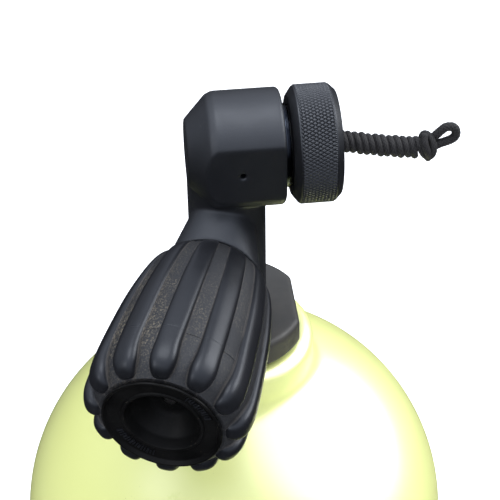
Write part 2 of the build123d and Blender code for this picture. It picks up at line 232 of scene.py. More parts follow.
class Surface:
    """A principled material with short calls for the nodes that these finishes need."""

    def __init__(
        self, name, roughness=0.5, metallic=0.0, specular=0.5, coat=0.0, sheen=0.0, tint=(1, 1, 1)
    ):
        self.material = bpy.data.materials.new(name)
        self.material.use_nodes = True
        self.nodes = self.material.node_tree.nodes
        self.links = self.material.node_tree.links
        self.bsdf = self.nodes["Principled BSDF"]
        self.bsdf.inputs["Roughness"].default_value = roughness
        self.bsdf.inputs["Metallic"].default_value = metallic
        self.bsdf.inputs["Specular IOR Level"].default_value = specular
        self.bsdf.inputs["Coat Weight"].default_value = coat
        self.bsdf.inputs["Coat Roughness"].default_value = 0.28
        self.bsdf.inputs["Specular Tint"].default_value = (*tint, 1)
        self.bsdf.inputs["Sheen Weight"].default_value = sheen
        self.bsdf.inputs["Sheen Roughness"].default_value = 0.4
        self.place = self.nodes.new("ShaderNodeTexCoord").outputs["Object"]

    def link(self, source, target):
        self.links.new(source, target)

    def noise(self, scale, detail=4.0, roughness=0.55, stretch=None):
        """Noise over the object's own metres; stretch squeezes it along some axes."""
        node = self.nodes.new("ShaderNodeTexNoise")
        node.inputs["Scale"].default_value = scale
        node.inputs["Detail"].default_value = detail
        node.inputs["Roughness"].default_value = roughness
        place = self.place
        if stretch:
            mapping = self.nodes.new("ShaderNodeMapping")
            mapping.inputs["Scale"].default_value = stretch
            self.link(self.place, mapping.inputs["Vector"])
            place = mapping.outputs["Vector"]
        self.link(place, node.inputs["Vector"])
        return node.outputs["Fac"]

    def cells(self, scale):
        node = self.nodes.new("ShaderNodeTexVoronoi")
        node.inputs["Scale"].default_value = scale
        self.link(self.place, node.inputs["Vector"])
        return node.outputs["Distance"]

    def attribute(self, name):
        node = self.nodes.new("ShaderNodeAttribute")
        node.attribute_name = name
        return node.outputs["Fac"]

    def step(self, value, low, high):
        """Map low..high to 0..1 and clamp."""
        node = self.nodes.new("ShaderNodeMapRange")
        node.inputs["From Min"].default_value = low
        node.inputs["From Max"].default_value = high
        self.link(value, node.inputs["Value"])
        return node.outputs["Result"]

    def span(self, value, low, high):
        """Map 0..1 to low..high."""
        node = self.nodes.new("ShaderNodeMapRange")
        node.inputs["To Min"].default_value = low
        node.inputs["To Max"].default_value = high
        self.link(value, node.inputs["Value"])
        return node.outputs["Result"]

    def math(self, operation, a, b):
        node = self.nodes.new("ShaderNodeMath")
        node.operation = operation
        for socket, value in zip(node.inputs, (a, b)):
            if isinstance(value, (int, float)):
                socket.default_value = value
            else:
                self.link(value, socket)
        return node.outputs["Value"]

    def times(self, a, b):
        return self.math("MULTIPLY", a, b)

    def mix(self, factor, a, b):
        """Mix two colours, each a tuple or another node's output."""
        node = self.nodes.new("ShaderNodeMix")
        node.data_type = "RGBA"
        inputs = [s for s in node.inputs if s.type == "RGBA"]
        for socket, value in zip(inputs, (a, b)):
            if isinstance(value, tuple):
                socket.default_value = (*value, 1.0)
            else:
                self.link(value, socket)
        self.link(factor, node.inputs["Factor"])
        return next(s for s in node.outputs if s.type == "RGBA")

    def colour(self, value):
        self.link(value, self.bsdf.inputs["Base Color"])

    def roughness(self, value):
        self.link(value, self.bsdf.inputs["Roughness"])

    def bump(self, height, distance, strength=1.0):
        node = self.nodes.new("ShaderNodeBump")
        node.inputs["Strength"].default_value = strength
        node.inputs["Distance"].default_value = distance
        self.link(height, node.inputs["Height"])
        previous = self.bsdf.inputs["Normal"].links
        if previous:
            self.link(previous[0].from_socket, node.inputs["Normal"])
        self.link(node.outputs["Normal"], self.bsdf.inputs["Normal"])


def lime_paint():
    s = Surface("lime_paint", roughness=0.34, specular=0.5, coat=1.0)
    cloud = s.noise(9, detail=3)
    base = s.mix(s.step(cloud, 0.35, 0.7), (0.80, 0.85, 0.29), (0.83, 0.88, 0.33))
    speck = s.step(s.cells(420), 0.055, 0.03)
    rare = s.step(s.noise(60, detail=1), 0.60, 0.64)
    marks = s.times(speck, rare)
    base = s.mix(s.times(marks, 0.75), base, (0.22, 0.26, 0.05))
    scuff = s.step(s.noise(70, detail=6, roughness=0.7, stretch=(1, 1, 0.25)), 0.66, 0.74)
    base = s.mix(s.times(scuff, 0.25), base, (0.55, 0.66, 0.10))
    s.colour(base)
    s.roughness(s.span(s.noise(35, detail=5), 0.26, 0.44))
    s.bump(s.noise(900, detail=2), 0.00003, 0.5)
    return s.material


def valve_coat():
    s = Surface("valve_coat", roughness=0.45, specular=0.9, tint=COOL)
    cloud = s.step(s.noise(45, detail=5), 0.35, 0.7)
    base = s.mix(cloud, (0.0045, 0.0048, 0.006), (0.008, 0.0085, 0.010))
    scuffs = s.step(s.noise(240, detail=6, roughness=0.72), 0.66, 0.78)
    base = s.mix(s.times(scuffs, 0.45), base, (0.08, 0.075, 0.065))
    s.colour(base)
    s.roughness(s.span(s.noise(120, detail=6), 0.40, 0.62))
    s.bump(s.noise(2600, detail=3), 0.00004, 0.6)
    s.bump(s.noise(160, detail=4), 0.00015, 0.35)
    return s.material


def disc_coat():
    s = Surface("disc_coat", roughness=0.58, specular=0.8)
    cloud = s.step(s.noise(60, detail=5), 0.38, 0.68)
    base = s.mix(cloud, (0.026, 0.025, 0.022), (0.050, 0.046, 0.038))
    scratch = s.step(s.noise(150, detail=6, roughness=0.7, stretch=(1, 0.2, 1)), 0.68, 0.76)
    s.colour(s.mix(s.times(scratch, 0.6), base, (0.12, 0.115, 0.10)))
    s.roughness(s.span(s.noise(90, detail=6), 0.45, 0.7))
    s.bump(s.noise(2400, detail=3), 0.00005, 0.6)
    return s.material


def black_chrome():
    s = Surface("black_chrome", roughness=0.14, metallic=1.0)
    turned = s.noise(900, detail=2, stretch=(6, 0.05, 0.05))
    s.colour(s.mix(turned, (0.020, 0.024, 0.034), (0.040, 0.047, 0.062)))
    s.roughness(s.span(turned, 0.10, 0.22))
    return s.material


def black_anodised():
    s = Surface("black_anodised", roughness=0.4, specular=0.8, tint=COOL)
    crest = s.step(s.attribute("crest"), 0.55, 1.0)
    cloud = s.step(s.noise(80, detail=5), 0.3, 0.7)
    base = s.mix(cloud, (0.005, 0.005, 0.006), (0.008, 0.0085, 0.010))
    s.colour(s.mix(s.times(crest, 0.4), base, (0.06, 0.062, 0.068)))
    s.roughness(s.span(s.noise(300, detail=4), 0.32, 0.5))
    s.bump(s.noise(3000, detail=2), 0.00002, 0.5)
    return s.material


def grip_rubber():
    s = Surface("grip_rubber", roughness=0.42, specular=0.5, tint=COOL)
    strip = s.attribute("strip")
    cloud = s.step(s.noise(55, detail=5), 0.35, 0.7)
    base = s.mix(cloud, (0.006, 0.0065, 0.008), (0.010, 0.0105, 0.013))
    base = s.mix(s.times(strip, 0.8), base, (0.022, 0.022, 0.023))
    grains = s.step(s.noise(1500, detail=5, roughness=0.75), 0.51, 0.62)
    patches = s.step(s.noise(48, detail=3), 0.36, 0.56)
    dust = s.times(s.times(grains, patches), s.attribute("dust"))
    base = s.mix(s.times(dust, 0.9), base, (0.34, 0.29, 0.20))
    edge = s.attribute("edge")
    base = s.mix(s.times(edge, s.times(patches, 0.45)), base, (0.12, 0.11, 0.10))
    s.colour(base)
    s.roughness(s.math("ADD", s.span(s.noise(110, detail=5), 0.33, 0.45), s.times(strip, 0.22)))
    pitting = s.noise(1300, detail=5, roughness=0.7)
    s.bump(s.times(pitting, s.math("ADD", strip, 0.12)), 0.00018, 0.7)
    return s.material


def dish_rubber():
    s = Surface("dish_rubber", roughness=0.55, specular=0.2)
    cloud = s.step(s.noise(90, detail=5), 0.35, 0.7)
    base = s.mix(cloud, (0.002, 0.002, 0.002), (0.005, 0.005, 0.005))
    grains = s.step(s.noise(1100, detail=5, roughness=0.75), 0.63, 0.70)
    patches = s.step(s.noise(140, detail=3), 0.46, 0.60)
    s.colour(s.mix(s.times(s.times(grains, patches), 0.5), base, (0.20, 0.17, 0.12)))
    s.roughness(s.span(s.noise(200, detail=4), 0.40, 0.62))
    s.bump(s.noise(1500, detail=4), 0.00008, 0.5)
    return s.material


def braided_cord():
    s = Surface("braided_cord", roughness=0.7, specular=0.3, sheen=0.08)
    braid_height_painted_shade = s.attribute("braid_height_painted_shade")
    fibre = s.noise(5200, detail=3, roughness=0.7)
    # Darker in the grooves between the strands and lighter on their crowns: painted shade that follows the braid's
    # height.
    base = s.mix(s.step(braid_height_painted_shade, 0.2, 0.9), (0.004, 0.004, 0.005), (0.030, 0.029, 0.030))
    base = s.mix(s.times(s.step(fibre, 0.55, 0.75), 0.5), base, (0.060, 0.058, 0.058))
    s.colour(base)
    s.roughness(s.span(fibre, 0.5, 0.8))
    s.bump(fibre, 0.00006, 0.6)
    return s.material


def bare_brass():
    s = Surface("bare_brass", roughness=0.3, metallic=1.0)
    turned = s.noise(700, detail=3, stretch=(1, 4, 1))
    s.colour(s.mix(turned, (0.62, 0.43, 0.15), (0.80, 0.60, 0.28)))
    s.roughness(s.span(turned, 0.22, 0.42))
    s.bump(turned, 0.00002, 0.5)
    return s.material


def sintered_bronze():
    s = Surface("sintered_bronze", roughness=0.6, metallic=1.0)
    grain = s.cells(2200)
    s.colour(s.mix(s.step(grain, 0.1, 0.6), (0.55, 0.34, 0.16), (0.20, 0.12, 0.06)))
    s.roughness(s.span(grain, 0.45, 0.75))
    s.bump(grain, 0.00025, 0.8)
    return s.material


def seal_rubber():
    s = Surface("seal_rubber", roughness=0.35, specular=0.5)
    s.colour(s.mix(s.noise(260), (0.010, 0.010, 0.011), (0.024, 0.024, 0.025)))
    s.roughness(s.span(s.noise(400), 0.25, 0.45))
    return s.material


def white_polymer():
    s = Surface("white_polymer", roughness=0.45)
    s.colour(s.mix(s.noise(180), (0.74, 0.73, 0.70), (0.84, 0.84, 0.82)))
    s.roughness(s.span(s.noise(300), 0.38, 0.55))
    return s.material


def black_nylon():
    s = Surface("black_nylon", roughness=0.5)
    s.colour(s.mix(s.noise(150), (0.018, 0.018, 0.019), (0.030, 0.030, 0.031)))
    s.roughness(s.span(s.noise(500), 0.42, 0.6))
    s.bump(s.noise(2000, detail=2), 0.00004, 0.5)
    return s.material


def stainless():
    s = Surface("stainless", roughness=0.25, metallic=1.0)
    brushed = s.noise(1200, detail=3, stretch=(1, 0.2, 1))
    s.colour(s.mix(brushed, (0.50, 0.49, 0.47), (0.70, 0.69, 0.67)))
    s.roughness(s.span(brushed, 0.18, 0.36))
    return s.material


def pale_floor():
    s = Surface("pale_floor", roughness=0.9, specular=0.1)
    s.colour(s.mix(s.noise(3), (0.93, 0.93, 0.93), (0.96, 0.96, 0.96)))
    s.bsdf.inputs["Emission Color"].default_value = (1, 1, 1, 1)
    s.bsdf.inputs["Emission Strength"].default_value = 0.8
    return s.material


LIME, VALVE, DISC = lime_paint(), valve_coat(), disc_coat()
CHROME, ANODISED = black_chrome(), black_anodised()
GRIP, DISH, CORD = grip_rubber(), dish_rubber(), braided_cord()
BRASS, BRONZE, SEAL = bare_brass(), sintered_bronze(), seal_rubber()
POLYMER, NYLON, STEEL = white_polymer(), black_nylon(), stainless()

# ---- Mesh tools -----------------------------------------------------------------------------


def make_object(name, points, faces, material, sharp=None):
    mesh = bpy.data.meshes.new(name)
    mesh.from_pydata(points, [], faces)
    mesh.validate()
    mesh.materials.append(material)
    mesh.polygons.foreach_set("use_smooth", [True] * len(mesh.polygons))
    if sharp is not None:
        mesh.set_sharp_from_angle(angle=math.radians(sharp))
    thing = bpy.data.objects.new(name, mesh)
    bpy.context.scene.collection.objects.link(thing)
    return thing


def store(thing, name, values):
    """Keep one number per point for the material to read."""
    thing.data.attributes.new(name, "FLOAT", "POINT").data.foreach_set("value", values)


def axis_frame(origin, along, side):
    """A function that puts (radius, angle, station) into the model's space."""
    up = along.cross(side)

    def place(radius, angle, station):
        return origin + along * station + (side * math.cos(angle) + up * math.sin(angle)) * radius

    return place


tank_place = axis_frame(Vector((0, 0, 0)), Vector((0, 0, 1)), Vector((1, 0, 0)))
wheel_place = axis_frame(WHEEL_ORIGIN, WHEEL_DIR, WHEEL_SIDE)
outlet_place = axis_frame(OUTLET_ORIGIN, OUTLET_DIR, Vector((0, -1, 0)))


def rounded(corners, steps=6):
    """Outline through (radius, station, fillet) corners, each fillet as an arc, in MM."""
    points = []
    count = len(corners)
    for i, (r, z, fillet) in enumerate(corners):
        here = Vector((r, z))
        if not fillet:
            points.append(here)
            continue
        before = Vector(corners[i - 1][:2]) - here
        after = Vector(corners[(i + 1) % count][:2]) - here
        half_turn = before.angle(after) / 2
        reach = min(fillet / math.tan(half_turn), before.length * 0.49, after.length * 0.49)
        radius = reach * math.tan(half_turn)
        middle = here + (before.normalized() + after.normalized()).normalized() * (
            radius / math.sin(half_turn)
        )
        start = here + before.normalized() * reach - middle
        end = here + after.normalized() * reach - middle
        for k in range(steps + 1):
            blend = start.lerp(end, k / steps)
            turn = start.angle(end)
            if turn > 1e-6:
                a = math.sin((1 - k / steps) * turn) / math.sin(turn)
                b = math.sin(k / steps * turn) / math.sin(turn)
                blend = start * a + end * b
            points.append(middle + blend)
    return [(p.x * MM, p.y * MM) for p in points]


def grid_faces(rows, columns):
    """Faces over a grid of points that closes on itself both ways."""
    faces = []
    for row in range(rows):
        here, there = row * columns, (row + 1) % rows * columns
        for k in range(columns):
            n = (k + 1) % columns
            faces.append((here + k, there + k, there + n, here + n))
    return faces


def lathe(name, outline, place, material, segments=192, sharp=35):
    """A closed ring of revolution of one (radius, station) outline."""
    points = []
    for s in range(segments):
        angle = 2 * math.pi * s / segments
        points += [place(r, angle, z) for r, z in outline]
    thing = make_object(name, points, grid_faces(segments, len(outline)), material, sharp)
    return fix_normals(thing)


def fix_normals(thing):
    work = bmesh.new()
    work.from_mesh(thing.data)
    bmesh.ops.remove_doubles(work, verts=work.verts, dist=1e-7)
    bmesh.ops.recalc_face_normals(work, faces=work.faces)
    work.to_mesh(thing.data)
    work.free()
    return thing


def arc(centre, radius, start, end, steps):
    """Points of an arc, degrees, in the (radius, station) plane, in metres."""
    points = []
    for k in range(steps + 1):
        angle = math.radians(start + (end - start) * k / steps)
        points.append((centre[0] + radius * math.cos(angle), centre[1] + radius * math.sin(angle)))
    return points


# ---- Cylinder -------------------------------------------------------------------------------


def make_cylinder():
    inner_r, bore_r, neck_r = TANK_R - 0.0115, 0.01255, 0.032
    shoulder_z = NECK_Z - 0.097
    base_edge, lip, fillet = 0.016, 0.0045, 0.009
    # Where the fillet of that radius touches both the dome and the neck's side.
    fillet_r = neck_r + fillet
    fillet_z = shoulder_z + math.sqrt((TANK_R + fillet) ** 2 - fillet_r**2)
    dome_stop = math.degrees(math.atan2(fillet_z - shoulder_z, fillet_r))
    bore_stop = math.degrees(math.acos(bore_r / inner_r))
    outline = [(AXIS_GAP, 0.0), (0.035, 0.0)]
    outline += arc((TANK_R - base_edge, base_edge), base_edge, -90, 0, 14)
    outline += [(TANK_R, shoulder_z * k / 6) for k in range(1, 6)]
    outline += arc((0, shoulder_z), TANK_R, 0, dome_stop, 48)
    outline += arc((fillet_r, fillet_z), fillet, dome_stop - 180, -180, 10)[1:]
    outline += arc((neck_r - lip, NECK_Z - lip), lip, 0, 90, 10)
    outline += [(0.0162, NECK_Z), (0.0162, NECK_Z - 0.0034), (bore_r, NECK_Z - 0.0034)]
    outline += arc((0, shoulder_z), inner_r, bore_stop, 0, 36)
    outline += arc((inner_r - 0.012, 0.026), 0.012, 0, -90, 8)
    outline += [(AXIS_GAP, 0.014)]
    shell = lathe("cylinder", outline, tank_place, LIME, segments=256)
    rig.ride(shell, "cylinder")
    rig.replaces(shell, "cylinder_shell")
    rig.slot(shell, "lime_paint")
    return shell


cylinder = make_cylinder()

# ---- Valve body -----------------------------------------------------------------------------
FORGING_VOXEL = 0.00045
FORGING_SMOOTHING = 14
DISC_TOP = NECK_Z + 0.0128


def make_valve():
    """The forged body: the designed shape with its edges softened as on a coated forging."""
    mesh = frame["nodes"]["valve_body"].data.copy()
    mesh.name = "valve_forging"
    body = bpy.data.objects.new("valve_forging", mesh)
    bpy.context.scene.collection.objects.link(body)
    fix_normals(body)
    remesh = body.modifiers.new("remesh", "REMESH")
    remesh.mode = "VOXEL"
    remesh.voxel_size = FORGING_VOXEL
    remesh.use_smooth_shade = True
    soften = body.modifiers.new("soften", "SMOOTH")
    soften.factor = 0.5
    soften.iterations = FORGING_SMOOTHING
    depsgraph = bpy.context.evaluated_depsgraph_get()
    done = bpy.data.meshes.new_from_object(body.evaluated_get(depsgraph))
    body.modifiers.clear()
    body.data = done
    done.materials.clear()
    done.materials.append(VALVE)
    done.materials.append(DISC)
    for face in done.polygons:
        face.use_smooth = True
        face.material_index = 1 if face.center.z < DISC_TOP else 0
    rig.ride(body, "cylinder")
    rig.replaces(body, "valve_body")
    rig.slot(body, "black_valve_coat")


make_valve()


def make_outlet_ring():
    low, high = (Vector(corner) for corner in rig.box("outlet_ring"))
    start, end = low.x / MM, high.x / MM
    outer = (high.z - low.z) / 2 / MM
    outline = rounded(
        [
            (13.02, start, 0),
            (outer - 0.1, start, 0.1),
            (outer, start + 0.3, 0.15),
            (outer, start + 0.9, 0.1),
            (outer - 0.35, start + 1.05, 0.1),
            (outer - 0.35, start + 1.3, 0.1),
            (outer, start + 1.45, 0.1),
            (outer, end - 0.35, 0.3),
            (outer - 0.45, end, 0.2),
            (13.02, end, 0),
        ],
        4,
    )
    ring = lathe("outlet_collar", outline, outlet_place, CHROME)
    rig.ride(ring, "cylinder")
    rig.replaces(ring, "outlet_ring")
    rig.slot(ring, "black_chrome")


make_outlet_ring()

# ---- Outlet plug ----------------------------------------------------------------------------
KNURL_STARTS = 96
KNURL_DEPTH = 0.34
KNURL_SAMPLES = 10  # points round the plug for each start
KNURL_ROWS = 72
KNURL_ANGLE = math.radians(30)
PLUG_BEVEL = 2.5
PLUG_HANDLE_BACK = 22.5


def knurl_height(angle, x, radius):
    """Height from 0 to 1 of a diamond knurl whose grooves stand at KNURL_ANGLE to the axis."""
    lead = 2 * math.pi * radius / math.tan(KNURL_ANGLE)
    turn = angle / (2 * math.pi) * KNURL_STARTS
    shift = x / lead * KNURL_STARTS
    heights = []
    for phase in (turn + shift, turn - shift):
        wave = 1 - abs(2 * (phase % 1.0) - 1)
        heights.append(min(1.0, wave * 2.4))
    return min(heights)


def make_plug():
    back, front = CAP_LOW.x / MM, CAP_HIGH.x / MM
    radius = (CAP_HIGH.z - CAP_LOW.z) / 2 / MM
    outer_left = rounded(
        [
            (6.0, back, 0.2),
            (10.4, back, 0),
            (11.38, back + 1, 0),
            (11.38, PLUG_HANDLE_BACK, 0),
            (12.0, PLUG_HANDLE_BACK, 0),
            (12.0, PLUG_HANDLE_BACK + 1.6, 0),
            (14.4, PLUG_HANDLE_BACK + 1.6, 0),
            (14.4, PLUG_HANDLE_BACK, 0),
            (radius - 3.4, PLUG_HANDLE_BACK, 0.5),
            (radius - 0.45, PLUG_HANDLE_BACK + PLUG_BEVEL - 0.35, 0.4),
            (radius - KNURL_DEPTH, PLUG_HANDLE_BACK + PLUG_BEVEL, 0),
        ]
    )
    knurl_start, knurl_end = PLUG_HANDLE_BACK + PLUG_BEVEL + 0.05, front - PLUG_BEVEL - 0.05
    band = [
        (
            (radius - KNURL_DEPTH) * MM,
            (knurl_start + (knurl_end - knurl_start) * k / KNURL_ROWS) * MM,
        )
        for k in range(KNURL_ROWS + 1)
    ]
    right = rounded(
        [
            (radius - KNURL_DEPTH, front - PLUG_BEVEL, 0),
            (radius - 0.35, front - PLUG_BEVEL + 0.3, 0.4),
            (radius - PLUG_BEVEL, front, 0.5),
            (2.2, front, 0.3),
            (1.7, front - 0.6, 0),
            (1.7, 33.0, 0),
            (6.0, 33.0, 0),
        ]
    )
    outline = outer_left + band + right
    first = len(outer_left)
    segments = KNURL_STARTS * KNURL_SAMPLES
    points, crest = [], []
    for s in range(segments):
        angle = 2 * math.pi * s / segments
        for k, (r, x) in enumerate(outline):
            height = 0.0
            if first <= k < first + len(band):
                height = knurl_height(angle, x / MM, radius)
                edge = min(k - first, first + len(band) - 1 - k) / 2
                height *= min(1.0, edge)
            crest.append(height)
            points.append(outlet_place(r + height * KNURL_DEPTH * MM, angle, x))
    faces = grid_faces(segments, len(outline))
    plug = make_object("knurled_plug", points, faces, ANODISED, 40)
    store(plug, "crest", crest)
    fix_normals(plug)
    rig.ride(plug, "cap")
    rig.replaces(plug, "outlet_cap")
    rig.slot(plug, "black_anodised")


make_plug()

# ---- Handwheel grip -------------------------------------------------------------------------
LOBES = 12
LOBE_PHASE = math.radians(28)
LOBE_COLUMNS = 24
STRIP_COLUMNS = 8
LOBE_SHARE = 0.595
LOBE_SQUARENESS = 3.4  # power of the lobe's section: 2 is round, more is boxier
SEAM_STATION = 74.4
SEAM_STEP, SEAM_DEPTH, SEAM_HALF_WIDTH = 0.12, 0.28, 0.22
BULB_START, BULB_END = 85.6, 91.0
BULB_BLUNTNESS = 2.4
SWELL, SWELL_STATION, SWELL_SPREAD = 0.15, 86.0, 4.5
STRIP_CROWN = 0.12
FINE_STEP, COARSE_STEP = 0.12, 0.4
GRIP_INNER = [(17.7, 91.0), (17.7, 78.1), (14.65, 78.1), (14.65, 21.75)]

# Station and radius of the strips between the lobes, and the lobes' height above them.
STRIP_PROFILE = [
    (21.75, 17.2, 0.5),
    (25.5, 20.0, 0.8),
    (30.0, 21.8, 1.1),
    (38.0, 23.5, 1.4),
    (50.0, 25.2, 1.7),
    (66.0, 26.4, 2.0),
    (78.0, 26.5, 2.6),
    (84.0, 25.6, 3.3),
    (88.0, 23.9, 3.7),
    (91.2, 21.2, 3.7),
]


def smooth_profile(rows, station):
    """Catmull-Rom through the rows at one station."""
    for i in range(len(rows) - 1):
        if station <= rows[i + 1][0] or i == len(rows) - 2:
            break
    a, b, c, d = rows[max(i - 1, 0)], rows[i], rows[i + 1], rows[min(i + 2, len(rows) - 1)]
    t = (station - b[0]) / (c[0] - b[0])
    out = []
    for k in (1, 2):
        m1 = (c[k] - a[k]) / (c[0] - a[0]) * (c[0] - b[0])
        m2 = (d[k] - b[k]) / (d[0] - b[0]) * (c[0] - b[0])
        out.append(
            (2 * t**3 - 3 * t**2 + 1) * b[k]
            + (t**3 - 2 * t**2 + t) * m1
            + (3 * t**2 - 2 * t**3) * c[k]
            + (t**3 - t**2) * m2
        )
    return out


def grip_columns():
    """(kind, across) pairs round one pitch: across is -1..1 over a lobe, 0..1 over a strip."""
    columns = []
    for k in range(LOBE_COLUMNS + 1):
        columns.append(("lobe", math.sin(math.pi / 2 * (2 * k / LOBE_COLUMNS - 1))))
    for k in range(1, STRIP_COLUMNS):
        columns.append(("strip", k / STRIP_COLUMNS))
    return columns


def bell(value, middle, spread):
    return math.exp(-(((value - middle) / spread) ** 2))


def dustiness(angle, station):
    """Dust lies in the strips on the wheel's upper left, and thins towards both ends."""
    around = bell(angle, 122, 28) + 0.25 * bell(angle, 60, 25)
    return min(1.0, around * bell(station, 62, 22) * 1.3)


def grip_stations():
    """Stations along the wheel, close together at the seam and over the bulbs."""
    stations = []
    station, last = STRIP_PROFILE[0][0], STRIP_PROFILE[-1][0]
    while station < last - 0.05:
        stations.append(station)
        near_seam = abs(station - SEAM_STATION) < 0.8
        station += FINE_STEP if near_seam or station > 83 else COARSE_STEP
    return stations + [last]


def make_grip():
    stations = grip_stations()
    half_lobe = math.pi / LOBES * LOBE_SHARE
    columns = grip_columns()
    points, strip_value, edge_value, dust_value = [], [], [], []
    for station in stations:
        radius, height = smooth_profile(STRIP_PROFILE, station)
        ahead = smooth_profile(STRIP_PROFILE, station + 0.05)[0]
        behind = smooth_profile(STRIP_PROFILE, station - 0.05)[0]
        slope = math.atan2(ahead - behind, 0.1)
        end = max(0.0, (station - BULB_START) / (BULB_END - BULB_START))
        taper = math.sqrt(max(0.0, 1 - min(1.0, end) ** BULB_BLUNTNESS))
        swell = SWELL * bell(station, SWELL_STATION, SWELL_SPREAD)
        width = half_lobe * (1 + swell) * max(0.4, taper**0.4)
        lift = height * taper
        seam_step = SEAM_STEP * min(1.0, max(0.0, (station - SEAM_STATION) / 0.15))
        seam_cut = SEAM_DEPTH * max(0.0, 1 - abs(station - SEAM_STATION) / SEAM_HALF_WIDTH)
        for lobe in range(LOBES):
            middle = LOBE_PHASE + 2 * math.pi * lobe / LOBES
            for kind, across in columns:
                if kind == "lobe":
                    angle = middle + across * width
                    bulge = lift * max(0.0, 1 - abs(across) ** LOBE_SQUARENESS) ** 0.5
                    on_strip = 0.0 if abs(across) < 0.97 and taper > 0.02 else 1.0
                    seam = -seam_cut * 0.25
                else:
                    gap = 2 * math.pi / LOBES - 2 * width
                    angle = middle + width + gap * across
                    bulge = STRIP_CROWN * math.sin(math.pi * across)
                    on_strip = 1.0
                    seam = seam_step - seam_cut
                out = bulge + seam
                r = radius + out * math.cos(slope)
                z = station - out * math.sin(slope)
                points.append(wheel_place(r * MM, angle, max(z, STRIP_PROFILE[0][0]) * MM))
                strip_value.append(on_strip)
                edge_value.append(1.0 if kind == "lobe" and abs(across) > 0.985 else 0.0)
                dust_value.append(on_strip * dustiness(math.degrees(angle) % 360, station))
    for r, z in GRIP_INNER:
        for lobe in range(LOBES):
            middle = LOBE_PHASE + 2 * math.pi * lobe / LOBES
            for k in range(len(columns)):
                angle = middle - half_lobe + 2 * math.pi / LOBES * k / len(columns)
                points.append(wheel_place(r * MM, angle, z * MM))
                strip_value.append(1.0)
                edge_value.append(0.0)
                dust_value.append(0.0)
    faces = grid_faces(len(stations) + len(GRIP_INNER), LOBES * len(columns))
    grip = make_object("rubber_grip", points, faces, GRIP, 50)
    store(grip, "strip", strip_value)
    store(grip, "edge", edge_value)
    store(grip, "dust", dust_value)
    fix_normals(grip)
    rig.ride(grip, "handwheel")
    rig.replaces(grip, "handwheel_grip")
    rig.slot(grip, "grip_rubber")


make_grip()


def make_dish():
    outline = rounded(
        [
            (3.7, 78.2, 0),
            (17.4, 78.2, 0),
            (17.4, 90.9, 0),
            (19.8, 91.2, 0.5),
            (20.5, 92.2, 0.3),
            (20.45, 92.9, 0.3),
            (19.7, 92.85, 0.3),
            (19.1, 91.3, 0.6),
            (14.3, 91.0, 0.3),
            (14.0, 91.6, 0.25),
            (13.1, 91.6, 0.4),
            (12.0, 87.5, 4.0),
            (7.6, 80.6, 4.0),
            (3.7, 79.4, 0.4),
        ],
        5,
    )
    dish = lathe("wheel_dish", outline, wheel_place, DISH)
    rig.ride(dish, "handwheel")
    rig.replaces(dish, "front_dish")
    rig.slot(dish, "grip_rubber")


make_dish()


TICK_RADIUS = 16.7
TICK_FACES = ((0, 1, 3, 2), (2, 3, 5, 4), (4, 5, 7, 6), (6, 7, 1, 0), (0, 2, 4, 6), (7, 5, 3, 1))


def make_dish_ticks():
    """Plain raised ticks in two groups round the dish's flat ring."""
    points, faces = [], []
    for start, stop, spacing in ((205, 262, 3.6), (20, 62, 3.6)):
        for k in range(int((stop - start) / spacing)):
            middle = math.radians(start + k * spacing)
            half = math.radians(0.75 if k % 3 else 1.3)
            tall = 0.9 if k % 2 else 1.25
            base = len(points)
            low, high = TICK_RADIUS - tall, TICK_RADIUS + tall
            for r, z in ((low, 90.8), (high, 90.9), (high, 91.55), (low, 91.5)):
                for angle in (middle - half, middle + half):
                    points.append(wheel_place(r * MM, angle, z * MM))
            faces += [tuple(base + c for c in face) for face in TICK_FACES]
    ticks = make_object("dish_ticks", points, faces, GRIP, 20)
    fix_normals(ticks)
    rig.ride(ticks, "handwheel")
    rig.slot(ticks, "grip_rubber")


make_dish_ticks()


def make_stud():
    """The end of the spindle's nut, just proud of the bowl's bottom."""
    outline = rounded([(0.01, 79.85, 0), (2.3, 79.85, 0), (2.3, 81.5, 0.7), (0.01, 81.6, 0)], 5)
    stud = lathe("wheel_stud", outline, wheel_place, STEEL, segments=48)
    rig.ride(stud, "handwheel")
    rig.slot(stud, "stainless")


make_stud()

# ---- Cord -----------------------------------------------------------------------------------
CORD_D = 0.0025
CORD_LENGTH = 0.245
WRAP_TURNS = 11.4
TURN_POINTS = 16
PATH_STEP = 0.0002
BRAID_SIDES, BRAID_STRANDS, BRAID_RELIEF = 28, 7, 0.09
# The cord is thicker over its loop, where it isn't pulled tight.
LOOSE_LENGTH, LOOSE_SPREAD = 0.027, 0.24
WRAP_OUTER_RADIUS = 4.1
WRAP_DROP = 5.35  # how far the wrap's far end hangs below the outlet's axis

# Routes past the wrap, as millimetres from the outlet's axis.
THROUGH_KNOT_AND_LOOP = [
    (71.6, -2.6, -7.6),
    (73.0, -0.6, -8.2),
    (74.0, 1.8, -6.0),
    (73.6, 1.6, -3.4),
    (74.8, 0.4, -1.4),
    (76.7, 0.1, 0.8),
    (79.0, 0.0, 3.1),
    (82.2, -0.1, 2.6),
    (83.0, -0.2, -1.0),
    (80.8, -0.3, -2.7),
    (77.2, -0.4, -3.6),
    (74.6, -0.8, -4.6),
    (72.6, -0.6, -5.0),
]
ROUND_THE_KNOT = [
    (70.7, -0.9, 1.6),
    (70.9, -1.6, 0.2),
    (70.8, -3.3, -1.4),
    (71.6, -4.0, -3.9),
    (72.7, -3.5, -6.6),
    (73.1, -0.6, -8.3),
    (72.2, 2.3, -7.7),
    (71.3, 3.7, -4.9),
    (71.3, 3.3, -1.8),
    (72.4, 1.2, -0.2),
    (73.8, -1.6, -1.1),
    (74.4, -3.3, -3.7),
    (73.8, -3.5, -6.4),
    (72.8, -1.8, -8.4),
    (72.6, -0.8, -10.0),
]


